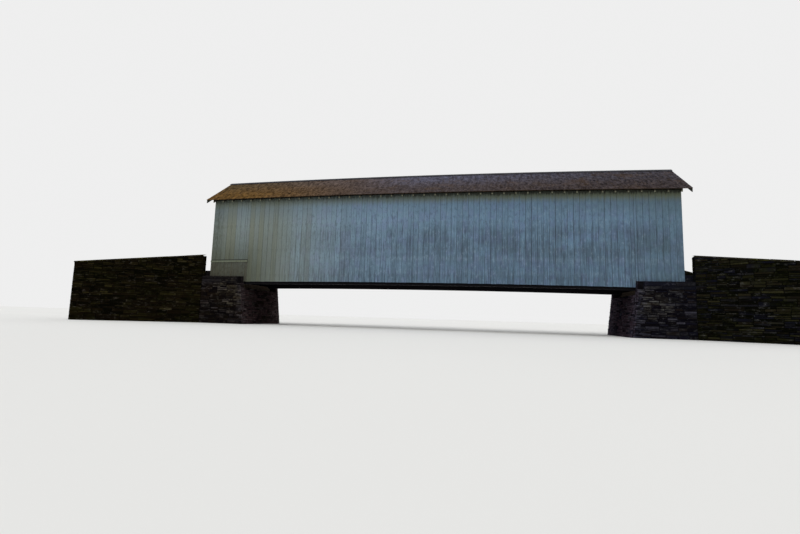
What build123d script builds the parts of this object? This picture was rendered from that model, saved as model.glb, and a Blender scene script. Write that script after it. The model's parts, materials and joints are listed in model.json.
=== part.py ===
from build123d import *
import os
from math import asin, atan, cos, degrees, radians, sin, tan

# Covered timber bridge on stone abutments, at full size in millimetres.
# X runs along the roadway, Y across it with the shown side at -Y, and Z is up.
# The origin is under the middle of the bridge, level with the foot of the masonry.
# Heights of timber are given at midspan; the camber lowers them towards the ends.

# Driving sizes of the body
board_width = 304.8
board_count = 86
body_width = 4300.0
camber = 125.0
siding_foot = 2600.0
siding_thickness = 25.0

# Driving sizes of the roof
roof_pitch = 35.0
eave_height = 5020.0
eave_overhang = 300.0
gable_overhang = 400.0
roof_thickness = 60.0
rafter_depth = 150.0
rafter_width = 75.0
rafter_count = 43
rafter_seat = 80.0
tail_setback = 30.0
ridge_cap_reach = 170.0
ridge_cap_thickness = 25.0
barge_depth = 180.0
barge_thickness = 40.0

# Driving sizes of the trusses
panel_count = 10
girt_depth = 100.0
girt_height = 150.0
girt_count = 4
lowest_girt = 380.0
girt_headroom = 30.0
truss_thickness = 175.0
chord_width = 300.0
bottom_chord_depth = 350.0
chord_drop = 130.0
top_chord_depth = 250.0
post_width = 250.0
brace_depth = 200.0

# Driving sizes of the floor
floor_beam_width = 200.0
floor_beam_depth = 250.0
joist_width = 100.0
joist_depth = 150.0
joist_count = 7
joist_edge = 150.0
plank_thickness = 75.0
deck_clearance = 10.0

# Driving sizes of the overhead bracing
tie_width = 200.0
tie_depth = 200.0
tie_drop = 25.0
lateral_width = 120.0
lateral_depth = 100.0
knee_width = 100.0
knee_depth = 100.0
knee_reach = 900.0
fit_clearance = 0.3
arc_slack = 0.02

# Driving sizes of the portals and of the mended boards
jamb_width = 425.0
crown_drop = 670.0
opening_clip = 600.0
header_lift = 40.0
header_depth = 150.0
header_thickness = 70.0
mended_boards = 8
mended_height = 1250.0
ledge_height = 110.0
ledge_depth = 30.0

# Driving sizes of the masonry
abutment_side_proud = 170.0
siding_overlap = 2200.0
cap_height = 220.0
siding_lift = 15.0
front_batter = 0.12
bearing_depth = 200.0
bearing_width = 300.0
bearing_setback = 450.0
bearing_spacing = 1250.0
chord_side_gap = 25.0
back_wall_gap = 20.0
back_wall_thickness = 370.0
wing_angle = 30.0
wing_length = 6600.0
wing_thickness = 500.0
wing_near_height = 4130.0
wing_far_height = 3280.0
coping_thickness = 90.0
coping_overhang = 40.0

# Derived lengths and widths
wall_length = board_width * board_count
wall_end = wall_length / 2
wall_face = body_width / 2
wall_back = wall_face - siding_thickness
truss_face = wall_back - girt_depth
truss_back = truss_face - truss_thickness
chord_back = truss_face - chord_width
frame_end = wall_end - siding_thickness
roof_end = wall_end + gable_overhang
eave_edge = wall_face + eave_overhang
roof_slope = tan(radians(roof_pitch))
roof_cosine = cos(radians(roof_pitch))

# Camber arc: the foot of the siding drops by the camber from midspan to each end
camber_radius = wall_end ** 2 / (2 * camber) + camber / 2
camber_axis = Axis((0, 0, siding_foot - camber_radius), (0, 1, 0))

# Derived heights at midspan
sheathing_ridge = siding_foot + eave_height + eave_edge * roof_slope
rafter_ridge = sheathing_ridge - rafter_depth / roof_cosine
bottom_chord_foot = siding_foot - chord_drop
bottom_chord_top = bottom_chord_foot + bottom_chord_depth
top_chord_top = rafter_ridge - (truss_face - rafter_seat) * roof_slope
top_chord_foot = top_chord_top - top_chord_depth
joist_foot = bottom_chord_top + floor_beam_depth
plank_foot = joist_foot + joist_depth
deck_top = plank_foot + plank_thickness
tie_top = top_chord_top - tie_drop
tie_foot = tie_top - tie_depth

# Derived places along the bridge
post_span = 2 * frame_end - post_width
panel_length = post_span / panel_count
post_places = [-post_span / 2 + panel_length * i for i in range(panel_count + 1)]
abutment_end = wall_end + back_wall_gap + back_wall_thickness
abutment_face = wall_face + abutment_side_proud
cap_top = siding_foot + cap_height
cheek_back = truss_face + chord_side_gap
opening_side = wall_back - jamb_width

# How far sweeps and cutting blocks reach past what they shape
sweep_margin = 2 * wall_end * (sheathing_ridge - bottom_chord_foot) / camber_radius
beyond = 2 * (abutment_end + wing_length)


def drop(x, level):
    """How far a timber at this midspan level has dropped at x."""
    radius = camber_radius + level - siding_foot
    return radius - (radius ** 2 - x ** 2) ** 0.5


seat_level = (
    bottom_chord_foot
    - drop(wall_end - bearing_setback, bottom_chord_foot)
    - bearing_depth
)
deck_end_level = deck_top - drop(wall_end, deck_top)
crown_level = tie_foot - drop(wall_end, tie_foot) - crown_drop
spring_level = crown_level - opening_clip


def block(x_from, x_to, y_from, y_to, z_from, z_to):
    """Rectangular solid between two opposite corners."""
    centre = Pos((x_from + x_to) / 2, (y_from + y_to) / 2, (z_from + z_to) / 2)
    return centre * Box(x_to - x_from, y_to - y_from, z_to - z_from)


def across(points, y_from, y_to):
    """Solid of an elevation outline of (x, z) points, from one y to another."""
    outline = Face(Wire.make_polygon([(x, y_from, z) for x, z in points]))
    return Solid.extrude(outline, Vector(0, y_to - y_from, 0))


def along(points, x_from, x_to):
    """Solid of a cross-section of (y, z) points, straight from one x to another."""
    outline = Face(Wire.make_polygon([(x_from, y, z) for y, z in points]))
    return Solid.extrude(outline, Vector(x_to - x_from, 0, 0))


def cambered(points, x_from, x_to):
    """Solid of a midspan cross-section of (y, z) points that follows the camber, with plumb ends."""
    start = degrees((x_from - sweep_margin) / camber_radius)
    finish = degrees((x_to + sweep_margin) / camber_radius)
    section = Face(Wire.make_polygon([(0, y, z) for y, z in points]))
    swept = Solid.revolve(section.rotate(camber_axis, start), finish - start, camber_axis)
    return swept & block(x_from, x_to, -beyond, beyond, -beyond, beyond)


def at_place(shape, x, level):
    """Turn a midspan piece about the camber axis so that it stands at x."""
    radius = camber_radius + level - siding_foot
    return shape.rotate(camber_axis, degrees(asin(x / radius)))


def rectangle(y_from, y_to, z_from, z_to):
    """Corners of a rectangular cross-section."""
    return [(y_from, z_from), (y_to, z_from), (y_to, z_to), (y_from, z_to)]


def to_back(shape):
    """The same piece on the other side of the roadway."""
    return mirror(shape, about=Plane.XZ)


def to_left(shape):
    """The same piece at the other end of the bridge."""
    return mirror(shape, about=Plane.YZ)


def sheathing(y):
    """Height of the underside of the roof boards at this distance from the ridge."""
    return sheathing_ridge - abs(y) * roof_slope


def rafter_foot(y):
    """Height of the underside of the rafters at this distance from the ridge."""
    return rafter_ridge - abs(y) * roof_slope


# Chords


def bottom_chord():
    section = rectangle(-truss_face, -chord_back, bottom_chord_foot, bottom_chord_top)
    return cambered(section, -frame_end, frame_end)


def top_chord():
    section = rectangle(-truss_face, -chord_back, top_chord_foot, top_chord_top)
    return cambered(section, -frame_end, frame_end)


# Posts and braces, which meet square at sloping shoulders on the posts


def brace_angle(width, height):
    """Slope of a brace whose square ends reach from the lower to the upper corner of a bay."""
    low, high = 0.0, radians(89)
    for _ in range(60):
        middle = (low + high) / 2
        miss = height * cos(middle) - width * sin(middle) - brace_depth * cos(2 * middle)
        if miss > 0:
            low = middle
        else:
            high = middle
    return low


def bay_corners(panel):
    """Lower outer and upper inner corner of a bay left of the middle, between posts and chords."""
    x_outer = post_places[panel] + post_width / 2
    x_inner = post_places[panel + 1] - post_width / 2
    z_low = bottom_chord_top - drop(x_outer, bottom_chord_top)
    z_high = top_chord_foot - drop(x_inner, top_chord_foot)
    return x_outer, z_low, x_inner, z_high


def shoulder_size(panel):
    """Run along the chord and height up the post of a bay's two shoulders."""
    x_outer, z_low, x_inner, z_high = bay_corners(panel)
    angle = brace_angle(x_inner - x_outer, z_high - z_low)
    return brace_depth * sin(angle), brace_depth * cos(angle)


def brace_outline(panel):
    x_outer, z_low, x_inner, z_high = bay_corners(panel)
    run, lift = shoulder_size(panel)
    return [
        (x_outer + run, z_low),
        (x_inner, z_high - lift),
        (x_inner - run, z_high),
        (x_outer, z_low + lift),
    ]


def foot_shoulder(panel):
    """Wedge at the foot of the outer post of a bay, under the brace."""
    x_outer, z_low, _, _ = bay_corners(panel)
    run, lift = shoulder_size(panel)
    sink = lift * camber / panel_length + lift
    return [
        (x_outer - post_width / 2, z_low - sink),
        (x_outer + run + sink * run / lift, z_low - sink),
        (x_outer - post_width / 2, z_low + lift + lift / run * post_width / 2),
    ]


def head_shoulder(panel):
    """Wedge at the head of the inner post of a bay, over the brace."""
    _, _, x_inner, z_high = bay_corners(panel)
    run, lift = shoulder_size(panel)
    rise = lift * camber / panel_length + lift
    return [
        (x_inner + post_width / 2, z_high + rise),
        (x_inner - run - rise * run / lift, z_high + rise),
        (x_inner + post_width / 2, z_high - lift - lift / run * post_width / 2),
    ]


def truss_post(index, chords):
    """One post, with a shoulder for each brace that meets it, cut to both chords."""
    x = post_places[index]
    low = bottom_chord_top - drop(wall_end, bottom_chord_top) - bottom_chord_depth / 2
    high = top_chord_foot + top_chord_depth / 2
    half = post_width / 2
    post = across([(x - half, low), (x + half, low), (x + half, high), (x - half, high)],
                  -truss_face, -truss_back)
    middle = panel_count // 2
    if index < middle:
        post += across(foot_shoulder(index), -truss_face, -truss_back)
    if 0 < index <= middle:
        post += across(head_shoulder(index - 1), -truss_face, -truss_back)
    if index == middle:
        post += to_left(across(head_shoulder(index - 1), -truss_face, -truss_back))
    post = post - chords[0] - chords[1]
    return post.solids().sort_by(lambda s: -s.volume)[0]


def truss_posts(chords):
    left = [truss_post(i, chords) for i in range(panel_count // 2)]
    return left + [truss_post(panel_count // 2, chords)] + [to_left(p) for p in left]


def truss_braces(chords):
    left = []
    for panel in range(panel_count // 2):
        brace = across(brace_outline(panel), -truss_face, -truss_back)
        brace = brace - chords[0] - chords[1]
        left.append(brace.solids().sort_by(lambda s: -s.volume)[0])
    return left + [to_left(b) for b in left]


# Floor


def floor_beams():
    """Beams across the bridge on the inner ledges of the bottom chords, two to a panel."""
    reach = truss_back - fit_clearance
    half = floor_beam_width / 2
    beam = block(-half, half, -reach, reach, bottom_chord_top, joist_foot - arc_slack)
    count = 2 * panel_count + 1
    places = [-post_span / 2 + panel_length / 2 * i for i in range(count)]
    return [at_place(beam, x, bottom_chord_top) for x in places]


def floor_joists():
    """Lengthwise timbers on the floor beams."""
    joists = []
    joist_reach = truss_back - joist_edge
    for i in range(joist_count):
        y = joist_reach * (2 * i / (joist_count - 1) - 1)
        section = rectangle(y - joist_width / 2, y + joist_width / 2, joist_foot, plank_foot)
        joists.append(cambered(section, -frame_end, frame_end))
    return joists


def deck_planks():
    """The floor boards, as one bed from truss to truss."""
    reach = truss_back - deck_clearance
    return cambered(rectangle(-reach, reach, plank_foot, deck_top), -frame_end, frame_end)


# Overhead bracing


def tie_beams():
    """Beams from top chord to top chord over every pair of posts."""
    half = tie_width / 2
    tie = block(-half, half, -chord_back, chord_back, tie_foot, tie_top)
    return [at_place(tie, x, tie_foot) for x in post_places]


def lateral_cross():
    """Two flat braces that cross between neighbouring tie beams."""
    half_run = (panel_length - tie_width) / 2 - 4 * fit_clearance
    half_reach = chord_back - fit_clearance
    middle = (tie_foot + tie_top) / 2
    low = middle - lateral_depth / 2
    high = middle + lateral_depth / 2
    angle = degrees(atan(half_reach / half_run))
    bar = Pos(0, 0, middle) * Box(4 * half_reach, lateral_width, lateral_depth)
    cross = bar.rotate(Axis.Z, angle) + bar.rotate(Axis.Z, -angle)
    return cross & block(-half_run, half_run, -half_reach, half_reach, low, high)


def upper_lateral_braces():
    cross = lateral_cross()
    middles = [x + panel_length / 2 for x in post_places[:-1]]
    return [at_place(cross, x, tie_foot) for x in middles]


def knee_braces():
    """Braces from each post up to its tie beam."""
    depth = knee_depth * 2 ** 0.5
    outline = [
        (-truss_back, tie_foot - knee_reach - depth),
        (-truss_back, tie_foot - knee_reach),
        (-truss_back + knee_reach, tie_foot),
        (-truss_back + knee_reach + depth, tie_foot),
    ]
    knee = along(outline, -knee_width / 2, knee_width / 2)
    front = [at_place(knee, x, tie_foot) for x in post_places]
    return front + [to_back(k) for k in front]


# Roof


def rafter():
    """One rafter at midspan, notched over the top chord, with a plumb-cut tail."""
    tail = eave_edge - tail_setback
    outline = [
        (0, rafter_ridge),
        (0, sheathing_ridge - arc_slack),
        (-tail, sheathing(tail) - arc_slack),
        (-tail, rafter_foot(tail)),
        (-truss_face, rafter_foot(truss_face)),
        (-truss_face, top_chord_top),
        (-truss_face + rafter_seat, top_chord_top),
    ]
    return along(outline, -rafter_width / 2, rafter_width / 2)


def rafters():
    span = 2 * frame_end - rafter_width
    places = [-span / 2 + span * i / (rafter_count - 1) for i in range(rafter_count)]
    shape = rafter()
    between_gables = block(-frame_end, frame_end, -beyond, beyond, 0, beyond)
    return [at_place(shape, x, top_chord_top) & between_gables for x in places]


def roof_skin(y_from, y_to, lift, thickness):
    """Cross-section of a layer on the front slope, from one distance off the ridge to another."""
    low = lift / roof_cosine
    high = (lift + thickness) / roof_cosine
    return [
        (-y_from, sheathing(y_from) + low),
        (-y_to, sheathing(y_to) + low),
        (-y_to, sheathing(y_to) + high),
        (-y_from, sheathing(y_from) + high),
    ]


def roof_slope_slab():
    """Roof boards and shingles of the front slope."""
    return cambered(roof_skin(0, eave_edge, 0, roof_thickness), -roof_end, roof_end)


def ridge_cap():
    """Two boards laid over the ridge, one on each slope."""
    half = roof_skin(0, ridge_cap_reach, roof_thickness, ridge_cap_thickness)
    front = cambered(half, -roof_end, roof_end)
    return front + to_back(front)


def barge_boards():
    """Sloping boards under the roof's edge at the right gable."""
    outline = [(0, sheathing_ridge), (-eave_edge, sheathing(eave_edge)),
               (-eave_edge, sheathing(eave_edge) - barge_depth),
               (0, sheathing_ridge - barge_depth)]
    front = cambered(outline, roof_end - barge_thickness, roof_end)
    return front + to_back(front)


# Walls


def whole_siding():
    """Front wall of upright boards, up to the rafters and raised over both abutments."""
    section = [
        (-wall_face, siding_foot),
        (-wall_back, siding_foot),
        (-wall_back, rafter_foot(wall_back)),
        (-wall_face, rafter_foot(wall_face)),
    ]
    wall = cambered(section, -wall_end, wall_end)
    raised_from = face_place(siding_foot - camber) - siding_lift
    raised = block(raised_from, beyond, -beyond, 0, 0, cap_top + siding_lift)
    return wall - raised - to_left(raised)


def mended_zone():
    """Space of the renewed lower boards at the left end of the front wall."""
    section = rectangle(-beyond, 0, 0, siding_foot + mended_height)
    return cambered(section, -wall_end - siding_thickness, -wall_end + mended_boards * board_width)


def front_siding_patch():
    return whole_siding() & mended_zone()


def front_siding():
    return whole_siding() - mended_zone()


def front_siding_ledge():
    """Strip nailed over the joint above the renewed boards."""
    level = siding_foot + mended_height
    section = rectangle(-wall_face - ledge_depth, -wall_face, level - ledge_height / 2,
                        level + ledge_height / 2)
    return cambered(section, -wall_end, -wall_end + mended_boards * board_width)


def girts():
    """Horizontal rails that carry the siding."""
    rails = []
    lowest = siding_foot + lowest_girt
    highest = rafter_foot(wall_back) - girt_headroom - girt_height
    for i in range(girt_count):
        foot = lowest + (highest - lowest) * i / (girt_count - 1)
        section = rectangle(-wall_back, -truss_face, foot, foot + girt_height)
        rails.append(cambered(section, -frame_end, frame_end))
    return rails


def portal_jambs():
    """Boards beside the right opening."""
    jamb = block(frame_end, wall_end, -wall_back, -opening_side, cap_top + siding_lift,
                 spring_level)
    return [jamb, to_back(jamb)]


def portal_gable():
    """Boards over the right opening, with its two clipped corners, up to the roof."""
    outline = [
        (-wall_back, spring_level),
        (-opening_side, spring_level),
        (-opening_side + opening_clip, crown_level),
        (opening_side - opening_clip, crown_level),
        (opening_side, spring_level),
        (wall_back, spring_level),
        (wall_back, sheathing_ridge),
        (-wall_back, sheathing_ridge),
    ]
    under_roof = [
        (-wall_back, siding_foot),
        (wall_back, siding_foot),
        (wall_back, sheathing(wall_back)),
        (0, sheathing_ridge),
        (-wall_back, sheathing(wall_back)),
    ]
    return along(outline, frame_end, wall_end) & cambered(under_roof, frame_end, wall_end)


def portal_header():
    """Timber between the end posts that carries the boards over the right opening."""
    foot = crown_level + header_lift
    return block(frame_end - header_thickness, frame_end, -truss_back, truss_back,
                 foot, foot + header_depth)


# Masonry of the right end; the left end mirrors it


def face_place(z):
    """Where the battered face under the span stands at this height."""
    return wall_end - siding_overlap - (cap_top - z) * front_batter


def abutment():
    """Battered pier of masonry up to the bearing seat."""
    outline = [
        (face_place(0), 0),
        (abutment_end, 0),
        (abutment_end, seat_level),
        (face_place(seat_level), seat_level),
    ]
    return across(outline, -abutment_face, abutment_face)


def cheek_walls():
    """Courses that rise beside the chords to the foot of the siding."""
    outline = [
        (face_place(seat_level), seat_level),
        (abutment_end, seat_level),
        (abutment_end, cap_top),
        (face_place(cap_top), cap_top),
    ]
    cheek = across(outline, -abutment_face, -cheek_back)
    return [cheek, to_back(cheek)]


def back_wall():
    """Wall behind the ends of the chords, up to the roadway."""
    return block(abutment_end - back_wall_thickness, abutment_end, -cheek_back, cheek_back,
                 seat_level, deck_end_level)


def bearing_timbers(chords):
    """Timbers across the seat, cut to the underside of the chords."""
    last = wall_end - bearing_setback
    timbers = []
    for x in (last - bearing_spacing, last):
        timber = block(x - bearing_width / 2, x + bearing_width / 2, -truss_face, truss_face,
                       seat_level, bottom_chord_foot)
        for chord in chords:
            timber -= chord
        timbers.append(timber)
    return timbers


def wing_piece(foot_near, foot_far, top_near, top_far, overhang):
    """Sloping piece of the right front wing, in the wing's own direction and then turned into place."""
    fall_foot = (foot_far - foot_near) / wing_length
    fall_top = (top_far - top_near) / wing_length
    start = -2 * wing_thickness
    finish = wing_length + overhang
    outline = [
        (start, foot_near + fall_foot * start),
        (finish, foot_near + fall_foot * finish),
        (finish, top_near + fall_top * finish),
        (start, top_near + fall_top * start),
    ]
    piece = across(outline, -overhang, wing_thickness + overhang)
    placed = Pos(abutment_end, -abutment_face, 0) * Rot(0, 0, -wing_angle) * piece
    return placed & block(abutment_end, beyond, -beyond, -cheek_back, -beyond, beyond)


def wing_wall():
    """Retaining wall that flares from the abutment and falls away from the bridge."""
    return wing_piece(0, 0, wing_near_height - coping_thickness,
                      wing_far_height - coping_thickness, 0)


def wing_coping():
    return wing_piece(wing_near_height - coping_thickness, wing_far_height - coping_thickness,
                      wing_near_height, wing_far_height, coping_overhang)


def save(name, pieces):
    """Write one node, of one solid or of several that don't touch."""
    solids = []
    for piece in pieces:
        solids += piece.solids()
    shape = solids[0] if len(solids) == 1 else Compound(children=solids)
    export_step(shape, f"parts/{name}.step")


def save_both_ends(name, pieces):
    save(f"right_{name}", pieces)
    save(f"left_{name}", [to_left(p) for p in pieces])


def save_both_sides(name, pieces):
    save(f"front_{name}", pieces)
    save(f"back_{name}", [to_back(p) for p in pieces])


os.makedirs("parts", exist_ok=True)

lower = bottom_chord()
upper = top_chord()

save_both_ends("abutment", [abutment()])
save_both_ends("cheek_walls", cheek_walls())
save_both_ends("back_wall", [back_wall()])
save_both_ends("bearing_timbers", bearing_timbers([lower, to_back(lower)]))
save_both_ends("front_wing_wall", [wing_wall()])
save_both_ends("back_wing_wall", [to_back(wing_wall())])
save_both_ends("wing_copings", [wing_coping(), to_back(wing_coping())])
save_both_ends("portal_jambs", portal_jambs())
save_both_ends("portal_gable", [portal_gable()])
save("portal_headers", [portal_header(), to_left(portal_header())])

save_both_sides("bottom_chord", [lower])
save_both_sides("top_chord", [upper])
save_both_sides("truss_posts", truss_posts([lower, upper]))
save_both_sides("truss_braces", truss_braces([lower, upper]))
save_both_sides("girts", girts())
save_both_sides("rafters", rafters())
save_both_sides("roof_slope", [roof_slope_slab()])

save("floor_beams", floor_beams())
save("floor_joists", floor_joists())
save("deck_planks", [deck_planks()])
save("tie_beams", tie_beams())
save("upper_lateral_braces", upper_lateral_braces())
save("knee_braces", knee_braces())
save("ridge_cap", [ridge_cap()])
save("barge_boards", [barge_boards(), to_left(barge_boards())])
save("front_siding", [front_siding()])
save("front_siding_patch", [front_siding_patch()])
save("front_siding_ledge", [front_siding_ledge()])
save("back_siding", [to_back(whole_siding())])
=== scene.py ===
import json
from math import cos, radians, sin, tan

import bpy
import numpy as np
from mathutils import Matrix, Vector

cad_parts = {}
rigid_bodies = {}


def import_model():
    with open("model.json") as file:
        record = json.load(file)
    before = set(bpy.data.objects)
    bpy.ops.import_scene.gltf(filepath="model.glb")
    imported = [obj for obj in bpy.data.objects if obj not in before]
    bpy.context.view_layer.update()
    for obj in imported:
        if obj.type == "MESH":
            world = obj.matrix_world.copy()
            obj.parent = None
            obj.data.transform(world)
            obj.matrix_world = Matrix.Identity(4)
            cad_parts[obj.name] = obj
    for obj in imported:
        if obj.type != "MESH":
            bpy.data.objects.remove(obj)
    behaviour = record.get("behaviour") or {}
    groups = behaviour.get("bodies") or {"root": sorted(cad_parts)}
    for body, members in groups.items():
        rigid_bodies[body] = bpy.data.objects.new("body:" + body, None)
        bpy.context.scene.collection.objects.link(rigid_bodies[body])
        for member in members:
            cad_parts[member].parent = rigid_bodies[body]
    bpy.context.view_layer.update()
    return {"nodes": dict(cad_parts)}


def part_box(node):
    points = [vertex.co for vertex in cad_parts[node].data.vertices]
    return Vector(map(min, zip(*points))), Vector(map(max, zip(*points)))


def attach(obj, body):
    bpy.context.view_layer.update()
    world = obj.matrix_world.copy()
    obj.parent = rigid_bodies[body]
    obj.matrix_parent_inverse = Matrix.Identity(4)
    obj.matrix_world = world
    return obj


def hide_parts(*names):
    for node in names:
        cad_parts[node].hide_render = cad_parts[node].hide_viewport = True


for leftover in list(bpy.data.objects):
    bpy.data.objects.remove(leftover)
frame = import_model()

# Driving sizes of the bridge in metres, as in its solids
board_width = 0.3048
board_count = 86
camber = 0.125
siding_foot = 2.6
siding_lift = 0.015
roof_pitch = radians(35.0)
roof_thickness = 0.06
rafter_depth = 0.15
ridge_cap_reach = 0.17
ridge_cap_thickness = 0.025
opening_side = 1.7
opening_clip = 0.6
mended_boards = 8
mended_height = 1.25
strip_height = 0.11
wing_angle = radians(30.0)
wing_thickness = 0.5
wing_near_height = 4.13
wing_far_height = 3.28
coping_thickness = 0.09
coping_overhang = 0.04
front_batter = 0.12
lowest_girt = 0.38
girt_height = 0.15
girt_count = 4
header_lift = 0.04
header_depth = 0.15

# Driving sizes of the boards, shingles and stones
board_gap = 0.011
board_skin = 0.022
board_inset = 0.0025
board_chamfer = 0.0015
nail_radius = 0.006
nail_share = 0.6
upper_nail_row = 0.75
shingle_courses = 22
shingle_width = 0.135
shingle_butt = 0.011
shingle_head = 0.003
sheathing_width = 0.23
sheathing_thickness = 0.024
plank_width = 0.25
wheel_track = 0.78
track_width = 0.22
track_wear = 0.005
rubble_height = 0.30
rubble_length = 0.42
block_length = 0.75
block_height = 0.40
block_length_behind = 0.7
corner_block = 0.6
cheek_block_bed = 0.25
side_block_bed = 0.14
end_stone_length = 0.3
stone_joint = 0.014
stone_relief = 0.028
stone_bed = 0.03
stone_wander = 0.009
coping_length = 0.95


def low(node):
    """Lowest corner of a node."""
    return np.array(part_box(node)[0])


def high(node):
    """Highest corner of a node."""
    return np.array(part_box(node)[1])


# Places read from the frame
wall_end, wall_face, _ = high("back_siding")
wall_back = low("back_siding")[1]
roof_end = high("ridge_cap")[0]
eave_edge = high("back_roof_slope")[1]
tail_end = high("back_rafters")[1]
frame_end, deck_reach, deck_top = high("deck_planks")
plank_thickness = deck_top - high("floor_joists")[2]
jamb_foot = low("right_portal_jambs")[2]
opening_spring = high("right_portal_jambs")[2]
opening_crown = opening_spring + opening_clip
abutment_end, abutment_side, seat_level = high("right_abutment")
abutment_toe = low("right_abutment")[0]
cap_top = high("right_cheek_walls")[2]
back_wall_face = low("right_back_wall")[0]
cheek_back, back_wall_top = high("right_back_wall")[1:]
wing_length = (high("right_back_wing_wall")[1] - abutment_side) / sin(wing_angle)
sheathing_ridge = high("back_roof_slope")[2] - roof_thickness / cos(roof_pitch)
camber_radius = wall_end ** 2 / (2 * camber) + camber / 2
slope_length = eave_edge / cos(roof_pitch)
lowest_nails = siding_foot + lowest_girt + girt_height / 2
highest_nails = high("front_girts")[2] - girt_height / 2
nail_levels = np.linspace(lowest_nails, highest_nails, girt_count)
nail_spacing = float(nail_levels[1] - nail_levels[0])


def drop(x):
    """How far the timber has dropped at x: the fall of a circle that rises by the camber."""
    return camber_radius - np.sqrt(camber_radius ** 2 - x ** 2)


def sheathing(y):
    """Midspan height of the underside of the roof boards: a straight fall from the ridge."""
    return sheathing_ridge - np.abs(y) * tan(roof_pitch)


# Foot of the rafter tails at midspan
tail_foot = sheathing(tail_end) - rafter_depth / cos(roof_pitch)


# Finishes


def paint(red, green, blue):
    """A colour as a screen shows it, turned into linear light: a cut power curve."""
    c = np.array([red, green, blue]) / 255
    linear = np.where(c < 0.04045, c / 12.92, ((c + 0.055) / 1.055) ** 2.4)
    return (*linear, 1.0)


class Value:
    """What a socket gives at each point of a surface. Sums and products add Math nodes."""

    def __init__(self, finish, socket):
        self.finish, self.socket = finish, socket

    def math(self, operation, *others):
        inlets = dict(enumerate((self, *others)))
        return self.finish.node("Math", {"operation": operation}, inlets)

    def __add__(self, other):
        return self.math("ADD", other)

    def __sub__(self, other):
        return self.math("SUBTRACT", other)

    def __rsub__(self, other):
        return self.math("MULTIPLY_ADD", -1.0, other)

    def __mul__(self, other):
        return self.math("MULTIPLY", other)

    def __pow__(self, other):
        return self.math("POWER", other)

    def __abs__(self):
        return self.math("ABSOLUTE")

    __radd__, __rmul__ = __add__, __mul__

    def rise(self, start, end):
        """0 below start, 1 above end, and an S curve between; start may be the larger."""
        settings = {"interpolation_type": "SMOOTHSTEP"}
        inlets = {0: self, 1: start, 2: end, 3: 0.0, 4: 1.0}
        if start > end:
            inlets.update({1: end, 2: start, 3: 1.0, 4: 0.0})
        return self.finish.node("MapRange", settings, inlets)


class Finish:
    """A material in the making: object coordinates, the tone and side of each board or stone,
    and the nodes that turn them into colour, roughness and relief."""

    def __init__(self, name):
        self.material = bpy.data.materials.new(name)
        self.material.use_nodes = True
        self.tree = self.material.node_tree
        self.tree.nodes.clear()
        self.shader = self.tree.nodes.new("ShaderNodeBsdfPrincipled")
        output = self.tree.nodes.new("ShaderNodeOutputMaterial")
        self.tree.links.new(self.shader.outputs[0], output.inputs[0])
        self.place = self.node("TexCoord", {}, {}, "Object")
        split = self.node("SeparateXYZ", {}, {0: self.place}).socket.node
        self.x, self.y, self.z = (Value(self, outlet) for outlet in split.outputs)
        self.tone = self.node("Attribute", {"attribute_name": "tone"}, {}, "Fac")
        self.side = self.node("Attribute", {"attribute_name": "side"}, {}, "Fac")

    def node(self, kind, settings, inlets, outlet=0):
        """A node of that kind, with its settings, then the values or links of its inlets."""
        new = self.tree.nodes.new("ShaderNode" + kind)
        for key, value in settings.items():
            setattr(new, key, value)
        for key, value in inlets.items():
            if isinstance(value, Value):
                self.tree.links.new(value.socket, new.inputs[key])
            else:
                new.inputs[key].default_value = value
        return Value(self, new.outputs[outlet])

    def noise(self, scales, detail=2.0, roughness=0.5, apart=0.0):
        """Noise with so many waves a metre along x, y and z, moved apart by each one's tone."""
        shifts = {0: self.tone * (apart * 7.0), 1: self.tone * apart, 2: self.tone * apart}
        shift = self.node("CombineXYZ", {}, shifts)
        inlets = {0: self.place, 1: scales, 2: shift if apart else (0.0, 0.0, 0.0)}
        where = self.node("VectorMath", {"operation": "MULTIPLY_ADD"}, inlets)
        inlets = {"Vector": where, "Scale": 1.0, "Detail": detail, "Roughness": roughness}
        return self.node("TexNoise", {}, inlets, "Fac")

    def mix(self, share, first, second, blend="MIX"):
        """Share of the second colour over the first."""
        settings = {"data_type": "RGBA", "blend_type": blend, "clamp_factor": True}
        return self.node("Mix", settings, {0: share, 6: first, 7: second}, 2)

    def coat(self, share, red, green, blue, blend="MIX"):
        """Share of a paint over the colour so far."""
        self.colour = self.mix(share, self.colour, paint(red, green, blue), blend)

    def scaled(self, colour, factor):
        """A colour made lighter or darker by a varying factor."""
        settings = {"operation": "SCALE"}
        return self.node("VectorMath", settings, {0: colour, "Scale": factor})

    def done(self, roughness, height, depth, specular):
        """The colour so far, roughness and relief go to the shader; height 1 stands depth
        metres proud."""
        bump = self.node("Bump", {}, {"Height": height, "Distance": depth})
        links = ((self.colour, "Base Color"), (roughness, "Roughness"), (bump, "Normal"))
        for value, key in links:
            self.tree.links.new(value.socket, self.shader.inputs[key])
        self.shader.inputs["Specular IOR Level"].default_value = specular
        return self.material


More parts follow.
